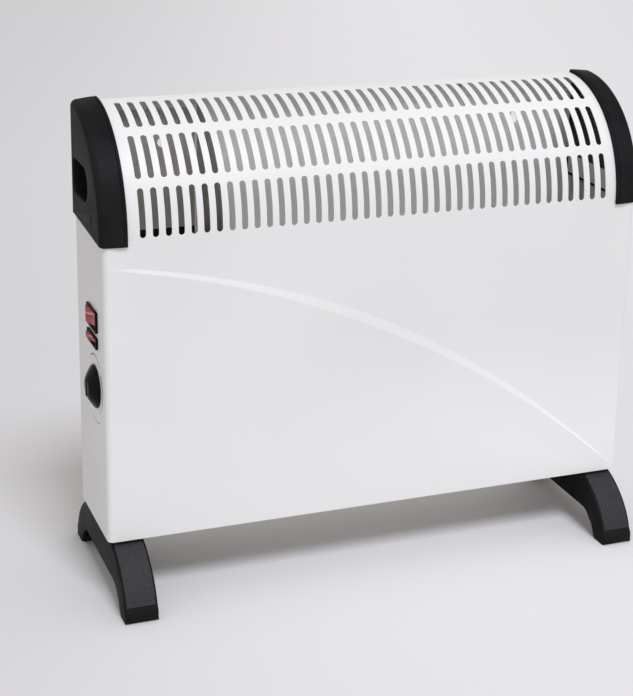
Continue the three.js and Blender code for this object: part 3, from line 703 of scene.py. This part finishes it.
edit(casing)
pick("EDGE", lambda e: all(abs(v.co.z * 1000 - CASING_BOTTOM) < TOUCH and on_skin(v)
                           for v in e.verts) and middle(e).y < REAR - 2)
bpy.ops.mesh.bevel(offset=mm(0.5), segments=3, affect="EDGES", clamp_overlap=False)
for z, h in SWITCHES.values():
    window = start("window", bpy.ops.mesh.primitive_cube_add, size=1,
                   location=mm(-HALF, SWITCH_Y, z), scale=mm(8, 34, h - 2))
    combine(casing, window)
hole = start("hole", bpy.ops.mesh.primitive_cylinder_add, radius=mm(3.3), depth=mm(8),
             vertices=32, location=mm(-HALF, KNOB_Y, KNOB_Z), rotation=(0, math.pi / 2, 0))
combine(casing, hole)
for x, z in BACK_SCREWS[:6]:        # the last two go into the grille's flange
    hole = start("hole", bpy.ops.mesh.primitive_cylinder_add, radius=mm(2.15), depth=mm(6),
                 vertices=16, location=mm(x, REAR, z), rotation=(math.pi / 2, 0, 0))
    combine(casing, hole)
edit(casing)
for name in ("low", "high"):
    follows = lies_on(lines[name])
    sharp = pick("EDGE", lambda e: follows(e) and abs(e.verts[0].co.x - e.verts[1].co.x) > 1e-4
                 and middle(e).y < FRONT + 0.4)
    bpy.ops.mesh.mark_sharp()
    print("sharp edges along the", name, "line:", sharp)
finish_piece(casing, casing_white.material, "casing_white", "front_panel", smooth=25)


# %% [markdown]
# ## Curved grille
# The top is a quarter cylinder with three rows of forty stamped slots. The curve is an edge
# spun about the rear line. The slots could be left out of a dense grid of faces, but their
# ends are round, so each row is cut at once by a comb of round-ended punches. The comb is
# one punch, repeated by an Array modifier and turned to face its row.

# %% Spin the sheet
ROWS = [(1, 25), (29.5, 53), (58.5, 81.5)]      # degrees up the curve
grille = empty("grille_sheet")
trace([(-GRILLE_HALF, FRONT, ARC_Z), (GRILLE_HALF, FRONT, ARC_Z)])
pick("EDGE", lambda e: True)
bpy.ops.mesh.spin(steps=60, angle=math.pi / 2, axis=(1, 0, 0), center=mm(0, REAR, ARC_Z))
pull(0, 0, -FLANGE, kind="EDGE")
tidy(grille, lambda f: f.normal.z < -0.9)
modify(grille, "SOLIDIFY", thickness=mm(SHEET), offset=-1, use_even_offset=True)
print("grille sheet top at", round(max(v.co.z for v in grille.data.vertices) * 1000, 1))


# %% Punch the rows
def comb(low, high):
    """One row of round-ended punches, facing the middle of the row."""
    mid, span = math.radians((low + high) / 2), math.radians(high - low)
    length = 2 * ARC_R * math.sin(span / 2)
    reach = ARC_R * math.cos(span / 2)
    punch = empty("punch")
    shape = rounded(0, 0, SLOT_WIDTH, length, SLOT_WIDTH / 2 - 0.01)
    outline([(x, y, reach - 7) for x, y in shape])
    pull(0, 0, 14)
    tidy(punch)
    modify(punch, "ARRAY", count=SLOTS, use_relative_offset=False,
           use_constant_offset=True, constant_offset_displace=mm(SLOT_PITCH, 0, 0))
    punch.matrix_world = (Matrix.Translation(mm(-SLOT_PITCH * (SLOTS - 1) / 2, REAR, ARC_Z))
                          @ Matrix.Rotation(math.pi / 2 - mid, 4, "X"))
    return punch


for low, high in ROWS:
    combine(grille, comb(low, high))
finish_piece(grille, grille_white.material, "grille_white", "top_grille", smooth=25)


# %% [markdown]
# ## Back panel
# The photograph does not show the back. Heaters like this have a flat painted plate there,
# with two keyholes to hang it by, rows of air slots and a gland for the cord. The plate is a
# filled outline, and the holes are cut by round-ended tools, as a punch press would.

# %% Draw and punch the plate
back = empty("back_plate")
corner = [(-261, 61), (261, 61), (261, 343), (247, 343), (247, 448), (-247, 448),
          (-247, 343), (-261, 343)]
outline([(x, 52.3, z) for x, z in corner])
pull(0, SHEET, 0)
tidy(back)


def punch_back(points):
    """A tool through the back plate with this outline in x and z."""
    tool = empty("punch")
    outline([(x, 50, z) for x, z in points])
    pull(0, 6, 0)
    tidy(tool)
    return tool


for z in (88, 104):
    row = punch_back(rounded(-192, z, 30, 6, 2.99))
    modify(row, "ARRAY", count=9, use_relative_offset=False, use_constant_offset=True,
           constant_offset_displace=mm(48, 0, 0))
    combine(back, row)
for side in (-180, 180):
    combine(back, punch_back(rounded(side, 404, 9, 9, 4.49)))
    combine(back, punch_back(rounded(side, 410, 4.6, 12, [0.3, 2.29, 2.29, 0.3])))
combine(back, punch_back(rounded(GLAND_X, GLAND_Z, 13.4, 13.4, 6.69)))
for x, z in BACK_SCREWS:
    combine(back, punch_back(rounded(x, z, 4.3, 4.3, 2.14, steps=3)))
finish_piece(back, back_white.material, "back_white", "back_panel")


# %% [markdown]
# ## Screws
# Pan-head screws with a cross recess hold the back plate and the feet. One is turned by
# spinning half a profile, its cross is cut by two slim blocks, and it is then copied, each
# copy with its own mesh. A cylinder with a flat top would do from afar, but the rounded rim
# and the cross are what makes it read as a screw.

# %% Turn one screw
def turned(name, profile, steps=28):
    """A solid of revolution about z from (radius, height) points in mm."""
    piece = empty(name)
    trace([(r, 0, h) for r, h in profile])
    pick("EDGE", lambda e: True)
    bpy.ops.mesh.spin(steps=steps, angle=2 * math.pi, axis=(0, 0, 1), center=(0, 0, 0))
    tidy(piece)
    return piece


def make_screw(name, d, length, head_d, head_h):
    """Head up, its underside at z = 0."""
    r, big = d / 2, head_d / 2
    thread = [(0, -length), (r * 0.5, -length), (r * 0.75, -length + 1.2)]
    n = int((length - 1.6) / 1.2)
    for i in range(n):
        h = -length + 1.6 + i * 1.2
        thread += [(r * 0.8, h), (r, h + 0.5), (r * 0.8, h + 1.0)]
    head = [(r * 0.8, 0), (big, 0), (big, head_h * 0.35), (big * 0.94, head_h * 0.62),
            (big * 0.8, head_h * 0.84), (big * 0.55, head_h), (0, head_h)]
    piece = turned(name, [*thread, *head])
    for angle in (0, math.pi / 2):
        blade = start("blade", bpy.ops.mesh.primitive_cube_add, size=1,
                      location=mm(0, 0, head_h), rotation=(0, 0, angle),
                      scale=mm(head_d * 0.56, head_d * 0.13, head_h * 1.3))
        combine(piece, blade)
    return piece


def copies(model, places, facing, slot, finish, prefix):
    """Places copies of a model, each standing for the CAD node of its number."""
    for i, place in enumerate(places):
        one = model.copy()
        one.data = model.data.copy()
        one.name = one.data.name = f"{prefix}_{i + 1}_detailed"
        bpy.context.collection.objects.link(one)
        one.matrix_world = (Matrix.Translation(mm(*place)) @ facing
                            @ Matrix.Rotation(0.4 + 1.1 * i, 4, "Z"))
        finish_piece(one, finish, slot, f"{prefix}_{i + 1}")
    bpy.data.objects.remove(model)


copies(make_screw("pan_screw", 3.5, 9, 7, 2.2), [(x, 53.4, z) for x, z in BACK_SCREWS],
       Matrix.Rotation(-math.pi / 2, 4, "X"), "screw_zinc", screw_zinc.material, "back_screw")
copies(make_screw("foot_pan_screw", 4.5, 12, 9, 3),
       [(sx * FOOT_X, sy * FOOT_SCREW_Y, 56.4) for sx in (-1, 1) for sy in (-1, 1)],
       Matrix.Rotation(math.pi, 4, "X"), "screw_zinc", screw_zinc.material, "foot_screw")


# %% [markdown]
# ## End caps
# A black moulded cap closes each end of the grille. Its band starts with a thin lip on the
# grille, tapers a little and turns round a shoulder into a flat side with a recessed grip.
# The band is a profile spun into a whole wheel, then cut at the back and along a line that
# dips to the front. The hollow and the grip are cut by tools, and the grip's tool flares
# at its mouth. That rounds the finger edge and leaves the flat side clean, where a bevel
# would have to follow edges that the cut leaves behind.

# %% Spin a quarter cap
LIP = [(240, 105.9), (240.3, 106.6), (241, 107), (242.6, 107), (243.1, 106.2),
       (243.7, 106.9), (251, 106.2), (258.3, 105.3)]
CAP_FLOOR, DIP = ARC_Z + 0.3, 0.048     # its lower edge, and its fall in mm per mm forward
SHOULDER = [(258.3 + 6.2 * math.sin(a * math.pi / 16), 99.1 + 6.2 * math.cos(a * math.pi / 16))
            for a in range(1, 9)]


def quarter(name, profile, floor, rear, tilt=0.0, steps=240):
    """Spins (distance along x, radius) points into a wheel and keeps the quarter above the
    floor and before the rear. The floor may dip to the front by some mm per mm."""
    piece = empty(name)
    start_at = math.pi / steps      # half a step, so that no corner lies in a cutting plane
    trace([(x, REAR - r * math.cos(start_at), ARC_Z + r * math.sin(start_at))
           for x, r in profile])
    pick("EDGE", lambda e: True)
    bpy.ops.mesh.spin(steps=steps, angle=2 * math.pi, axis=(1, 0, 0), center=mm(0, REAR, ARC_Z))
    bpy.ops.mesh.select_all(action="SELECT")
    bpy.ops.mesh.remove_doubles(threshold=2e-6)
    for at, way in (((0, REAR, floor), (0, tilt, -1)), ((0, rear, 0), (0, 1, 0))):
        bpy.ops.mesh.select_all(action="SELECT")
        bpy.ops.mesh.bisect(plane_co=mm(*at), plane_no=way, use_fill=True,
                            clear_outer=True, threshold=1e-6)
    tidy(piece)
    return piece


print("quarter tool ready")


# %% Hollow the cap and cut the grip
def above_floor(v):
    """How far a vertex lies above the cap's slanting lower edge, in mm."""
    return v.co.z * 1000 - CAP_FLOOR - DIP * (v.co.y * 1000 - REAR)


def rim(v):
    """How far a vertex lies from the line about which the band is spun, in mm."""
    return math.hypot(v.co.y * 1000 - REAR, v.co.z * 1000 - ARC_Z)


def make_cap():
    """The right-hand cap."""
    cap = quarter("cap", [(240, 0), *LIP, *SHOULDER, (264.5, 0)], CAP_FLOOR, REAR, DIP)
    hollow = quarter("hollow", [(243, 0), (243, 104), (257.5, 102.9), (261, 101),
                                (262.1, 98), (262.1, 0)], ARC_Z + 2.7, REAR - 2.4)
    combine(cap, hollow)
    seat = quarter("seat", [(239, 0), (239, 104.3), (243.3, 104.3), (243.3, 0)],
                   ARC_Z - 1, REAR + 1)
    combine(cap, seat)
    skirt = empty("skirt")
    outline([(239, 60, 330), (239, -52.2, 330), (256.3, -52.2, 330), (260.4, -50.7, 330),
             (262.15, -46.9, 330), (262.15, 60, 330)])
    pull(0, 0, CAP_FLOOR - 330)
    tidy(skirt)
    combine(cap, skirt)
    y, z, width, height = 19.5, 381.75, 55, 31.5        # the grip's opening
    flare, flare_steps = 1.5, 5
    wall = empty("wall")
    outline([(247.1, *p) for p in rounded(y, z, width + 4, height + 4, [11, 8, 15.5, 15.5])])
    pull(16.1, 0, 0)
    tidy(wall)
    combine(cap, wall, "UNION")
    mouth = empty("mouth")
    outline([(249.5, *p) for p in rounded(y, z, width, height, [9, 6, 15.5, 15.5], steps=10)])
    pull(13.5, 0, 0)
    for k in range(1, flare_steps + 1):
        a, b = ((k - j) * math.pi / (2 * flare_steps) for j in (0, 1))
        pull(flare * (math.sin(a) - math.sin(b)), 0, 0)
        grow, before = (2 * flare * (1 - math.cos(t)) for t in (a, b))
        bpy.ops.transform.resize(
            value=(1, (width + grow) / (width + before), (height + grow) / (height + before)),
            center_override=mm(264, y, z))
    pull(4, 0, 0)
    tidy(mouth)
    combine(cap, mouth)
    latch = start("latch", bpy.ops.mesh.primitive_cube_add, size=1,
                  location=mm(263, -21, 356), scale=mm(4, 3, 9))
    combine(cap, latch)
    edit(cap)
    found = pick("EDGE", lambda e: all(abs(above_floor(v)) < TOUCH for v in e.verts)
                 and (rim(e.verts[0]) > 104.8 or middle(e).x > 262.5)
                 and middle(e).y < REAR - 1 and e.calc_face_angle(0) > 0.5)
    bpy.ops.mesh.bevel(offset=mm(0.7), segments=4, affect="EDGES", clamp_overlap=False)
    print("edges rounded under the cap:", found)
    tidy(cap)
    return cap


cap_right = make_cap()
cap_left = cap_right.copy()
cap_left.data = cap_right.data.copy()
bpy.context.collection.objects.link(cap_left)
cap_left.scale.x = -1
for cap, side in ((cap_left, "left"), (cap_right, "right")):
    cap.name = cap.data.name = f"end_cap_{side}_moulded"
    focus(cap)
    bpy.ops.object.transform_apply()
    tidy(cap)
    finish_piece(cap, cap_black.material, "cap_black", f"end_cap_{side}", smooth=28)


# %% [markdown]
# ## Feet
# Each foot is an arch that lies across the body, flat where the base sits on it, with a
# sloping toe at each end. Its side view says it all, so that outline is drawn, filled and
# pulled to the foot's width. The long edges are then rounded. Only the sloping tops carry
# the leather grain, so these faces get their own material in edit mode.

# %% Side view of a foot
def bezier(a, b, c, d, steps):
    """Points of a cubic curve, without its first."""
    points = []
    for i in range(1, steps + 1):
        t = i / steps
        w = ((1 - t) ** 3, 3 * t * (1 - t) ** 2, 3 * t * t * (1 - t), t**3)
        points.append(tuple(sum(k * p[j] for k, p in zip(w, (a, b, c, d))) for j in (0, 1)))
    return points


toe = [(44.2, 57.6), *bezier((44.2, 57.6), (60, 54), (86, 37.5), (93.4, 14.8), 20),
       (94.4, 13.2), (95.8, 11.8), (96.7, 10.2), (97, 8.4)]
sole = [(97, 3.2), (96.7, 1.8), (95.9, 0.8), (94.8, 0.2), (93.4, 0)]
heel = bezier((76, 0), (70, 8), (66, 23.5), (50, 23.5), 12)
half_foot = [(44, 59.7), *toe, *sole, (76, 0), *heel]
print("foot outline:", 2 * len(half_foot), "points")


# %% Pull, round, hollow and paint the feet
def make_foot(side, sign):
    """One foot; sign is -1 for the left."""
    middle_x = sign * FOOT_X
    foot = empty(f"foot_{side}_moulded")
    outline([(middle_x - 15.5, y, z) for y, z in half_foot]
            + [(middle_x - 15.5, -y, z) for y, z in reversed(half_foot)])
    pull(31, 0, 0)
    tidy(foot)
    edit(foot)
    pick("EDGE", lambda e: abs(e.verts[0].co.x - e.verts[1].co.x) < 1e-6
         and all(f.normal.z > -0.6 or abs(f.normal.x) > 0.9 for f in e.link_faces)
         and middle(e).z > 0.01)
    bpy.ops.mesh.bevel(offset=mm(2.2), segments=5, affect="EDGES", clamp_overlap=False)
    tidy(foot)
    inner = [(y - 3, z - 3) for y, z in toe]
    inner = [(y, z) for y, z in inner if y < 77]
    for way in (-1, 1):
        pocket = empty("pocket")
        shape = [(1.5, 8), (1.5, 56.7), (41, 56.7), *inner, (77, 8)]
        outline([(middle_x - 12.5, way * y, z) for y, z in shape])
        pull(25, 0, 0)
        tidy(pocket)
        combine(foot, pocket)
        hole = start("hole", bpy.ops.mesh.primitive_cylinder_add, radius=mm(2.65),
                     depth=mm(12), vertices=24, location=mm(middle_x, way * FOOT_SCREW_Y, 58))
        combine(foot, hole)
    foot.data.materials.append(foot_smooth.material)
    foot.data.materials.append(foot_grain.material)
    edit(foot)
    pick("FACE", lambda f: f.normal.z > 0.15 and abs(f.normal.x) < 0.05
         and 14 < middle(f).z < 57.5 and abs(middle(f).y) > 45)
    foot.active_material_index = 1
    bpy.ops.object.material_slot_assign()
    finish_piece(foot, None, "foot_grey", f"foot_{side}", smooth=24)


make_foot("left", -1)
make_foot("right", 1)


# %% [markdown]
# ## Knob
# The thermostat knob is a low cone with a rounded rim and a slim finger bar on its face. The
# cone is turned with its bore, and the bar is a block with rounded edges joined to it. It
# rides on the dial's body, so it turns with its shaft.

# %% Turn the knob and join its bar
TO_LEFT = Matrix.Rotation(-math.pi / 2, 4, "Y")
knob = turned("thermostat_knob_moulded", [
    (0, 5.2), (3.15, 5.2), (3.15, 0), (19.6, 0), (20, 0.4), (20, 1.2), (19.4, 2), (17.0, 3.7),
    (13.6, 5.9), (10.6, 7.6), (9.2, 8.2), (8, 8.45), (7, 8.5), (0, 8.5)], steps=96)
bar = start("bar", bpy.ops.mesh.primitive_cube_add, size=1, location=mm(0, 0, 7.6),
            scale=mm(17, 4.4, 3.2))
focus(bar)
bpy.ops.object.transform_apply()
soften(bar, 0.9, 4)
combine(knob, bar, "UNION")
knob.matrix_world = Matrix.Translation(mm(-262.3, KNOB_Y, KNOB_Z)) @ TO_LEFT
finish_piece(knob, knob_black.material, "knob_black", "thermostat_knob",
             body="thermostat_dial", smooth=32)


# %% [markdown]
# ## Rocker switches
# Each switch is a black bezel on the wall with a clear red key that tips about a vertical
# pin. The key's face is hollow, so a finger finds its ends. The bezel is drawn as a rounded
# frame, and the housing behind it goes through the window of the casing.

# %% Bezels and keys
def make_switch(name, z, h):
    """A housing and its key, whose bezel is h mm high and centred on height z."""
    housing = empty(f"switch_housing_{name}_moulded")
    outline([(-264.3, y, v) for y, v in rounded(SWITCH_Y, z, 36, h, 1.6, steps=5)])
    pull(2, 0, 0)
    tidy(housing)
    soften(housing, 0.6, 3)
    block = start("block", bpy.ops.mesh.primitive_cube_add, size=1,
                  location=mm(-251.4, SWITCH_Y, z), scale=mm(22.8, 33.4, h - 2.6))
    combine(housing, block, "UNION")
    well = start("well", bpy.ops.mesh.primitive_cube_add, size=1,
                 location=mm(-260, SWITCH_Y, z), scale=mm(20, 31.6, h - 4))
    combine(housing, well)
    for k in (-1, 0, 1):
        tab = start("tab", bpy.ops.mesh.primitive_cube_add, size=1,
                    location=mm(-236.5, SWITCH_Y + 11 * k, z), scale=mm(9, 0.8, 4.8))
        combine(housing, tab, "UNION")
    finish_piece(housing, bezel_black.material, "bezel_black", f"switch_housing_{name}")

    key = empty(f"rocker_{name}_clear")
    half, out = 14.6, -264.3        # half its length, and the bezel's outer face
    face = [(out + 1.3 - 1.1 * (k / 6) ** 2, half * k / 6) for k in range(-6, 7)]
    shape = [*face, (out + 3, 15), (-257.5, 7), (-257.5, -7), (out + 3, -15)]
    outline([(x, SWITCH_Y + y, z - h / 2 + 2.3) for x, y in shape])
    pull(0, 0, h - 4.6)
    tidy(key)
    soften(key, 0.45, 3, degrees=40)
    pin, at_rest = Matrix.Translation(mm(-260.5, SWITCH_Y, 0)), math.radians(8)
    key.matrix_world = pin @ Matrix.Rotation(at_rest, 4, "Z") @ pin.inverted()
    finish_piece(key, rocker_red.material, "rocker_red", f"rocker_{name}",
                 body=f"rocker_{name}")


for name, (z, h) in SWITCHES.items():
    make_switch(name, z, h)


# %% [markdown]
# ## Cord gland
# The mains cord leaves at the back through a ribbed rubber gland. The photograph shows no
# cord, so the gland is made and the cord is left off. It is one turned profile.

# %% Turn the gland
ribs = []
for k in range(4):
    h, r = 5.6 + k * 2.1, 5.6 - k * 0.25
    ribs += [(r, h), (r, h + 1.2), (r - 0.7, h + 1.5), (r - 0.7, h + 2.0)]
gland = turned("cord_gland_ribbed", [
    (4, -8), (6.4, -8), (6.4, 0.4), (7.2, 0.4), (7.5, 0.8), (7.5, 3), (7.1, 3.4), (5.9, 3.9),
    *ribs, (4.5, 13.8), (4.2, 14), (4, 13.8), (4, -8)], steps=48)
gland.matrix_world = (Matrix.Translation(mm(GLAND_X, 53.1, GLAND_Z))
                      @ Matrix.Rotation(-math.pi / 2, 4, "X"))
finish_piece(gland, bezel_black.material, "bezel_black", "cord_gland")


# %% [markdown]
# ## What stays as the CAD made it
# Sheets, wires and heater bands inside are seen only through the slots. Their shapes are
# right as packed, so they keep their meshes and take a procedural finish in place of the
# plain one. A CAD object is never moved or reshaped here.

# %% Finishes for the inner nodes
INNER = {
    galvanised: ["base_pan", "control_divider", "heat_shield_front", "heat_shield_rear"],
    plate_zinc_painted_shade: ["end_plate_left", "end_plate_right"],
    mica: ["mica_support_1", "mica_support_2", "mica_support_3"],
    resistance_wire: ["element_lower", "element_upper"],
    screw_zinc: ["thermal_cutout", "thermostat_shaft"],
    nylon_cream: ["thermostat_body", "terminal_block"],
    wire_brown: ["wire_live"], wire_blue: ["wire_neutral"], wire_green: ["wire_earth"],
    wire_white: ["wire_element"],
}
for finish, names in INNER.items():
    for name in names:
        materials = nodes[name].data.materials
        materials.clear()
        materials.append(finish.material)
print("inner nodes finished:", sum(len(n) for n in INNER.values()))


# %% [markdown]
# ## Floor and light
# The picture was taken in a studio on a pale seamless floor, which fills the whole frame. A
# big plane does the same, and its colour carries painted light: it follows how the floor's
# brightness falls off there, with painted shade to the left and round the heater. The
# light is an even sky and one very soft lamp from the front, which leaves the control side
# a little darker, as in the photograph.

# %% Floor
floor = start("studio_floor", size=60)
clear()
ground = Finish("studio_floor_painted_falloff", (0.78, 0.765, 0.785), roughness=0.8)
across = ground.x * math.cos(turn) - ground.y * math.sin(turn)
away = ((ground.x - 0.03) ** 2 + (ground.y + 0.1) ** 2) ** 0.5
# painted light falloff: darker to the left and in a ring round the heater
painted_falloff = (ground.step(across, -1.0, 0.3, 0.78, 1) * ground.step(across, 0.2, 1.0, 1, 0.95)
        * ground.step(away, 0.08, 0.6, 1, 0.95) * ground.step(away, 0.6, 1.8, 0.955, 1))
ground.vary(base_color=ground.mix(painted_falloff, (0, 0, 0), (0.745, 0.735, 0.745)))
floor.data.materials.append(ground.material)
print("floor laid")

# %% World and lamp
world = bpy.context.scene.world or bpy.data.worlds.new("studio")
bpy.context.scene.world = world
world.use_nodes = True
sky = world.node_tree.nodes
sky.clear()
links = world.node_tree.links
out = sky.new("ShaderNodeOutputWorld")
fill, backdrop, choose = (sky.new("ShaderNodeBackground"), sky.new("ShaderNodeBackground"),
                          sky.new("ShaderNodeMixShader"))
for glow, colour, strength in ((fill, (1, 0.975, 0.92, 1), 0.62),
                               (backdrop, (0.93, 0.925, 0.94, 1), 1.0)):
    glow.inputs["Color"].default_value = colour
    glow.inputs["Strength"].default_value = strength
rays = sky.new("ShaderNodeLightPath")
either = sky.new("ShaderNodeMath")
either.operation = "MAXIMUM"
links.new(rays.outputs["Is Camera Ray"], either.inputs[0])
links.new(rays.outputs["Is Transmission Ray"], either.inputs[1])
links.new(either.outputs[0], choose.inputs["Fac"])
links.new(fill.outputs[0], choose.inputs[1])
links.new(backdrop.outputs[0], choose.inputs[2])
links.new(choose.outputs[0], out.inputs["Surface"])
clear()
bpy.ops.object.light_add(type="SUN")
lamp = bpy.context.object
lamp.data.energy = 1.9
lamp.data.color = (0.985, 1, 1.1)
lamp.data.angle = math.radians(20)
aside, height = math.radians(3), math.radians(58)
ray = Vector((-math.sin(aside) * math.cos(height), math.cos(aside) * math.cos(height),
              -math.sin(height)))
lamp.matrix_world = ray.to_track_quat("-Z", "Y").to_matrix().to_4x4()
print("lamp and sky set")


# %% [markdown]
# ## Last update
# The scene is brought up to date; each piece's box was printed as it was finished. The
# dressed model has to stay inside the CAD model's box.

# %% Update the scene
bpy.context.view_layer.update()
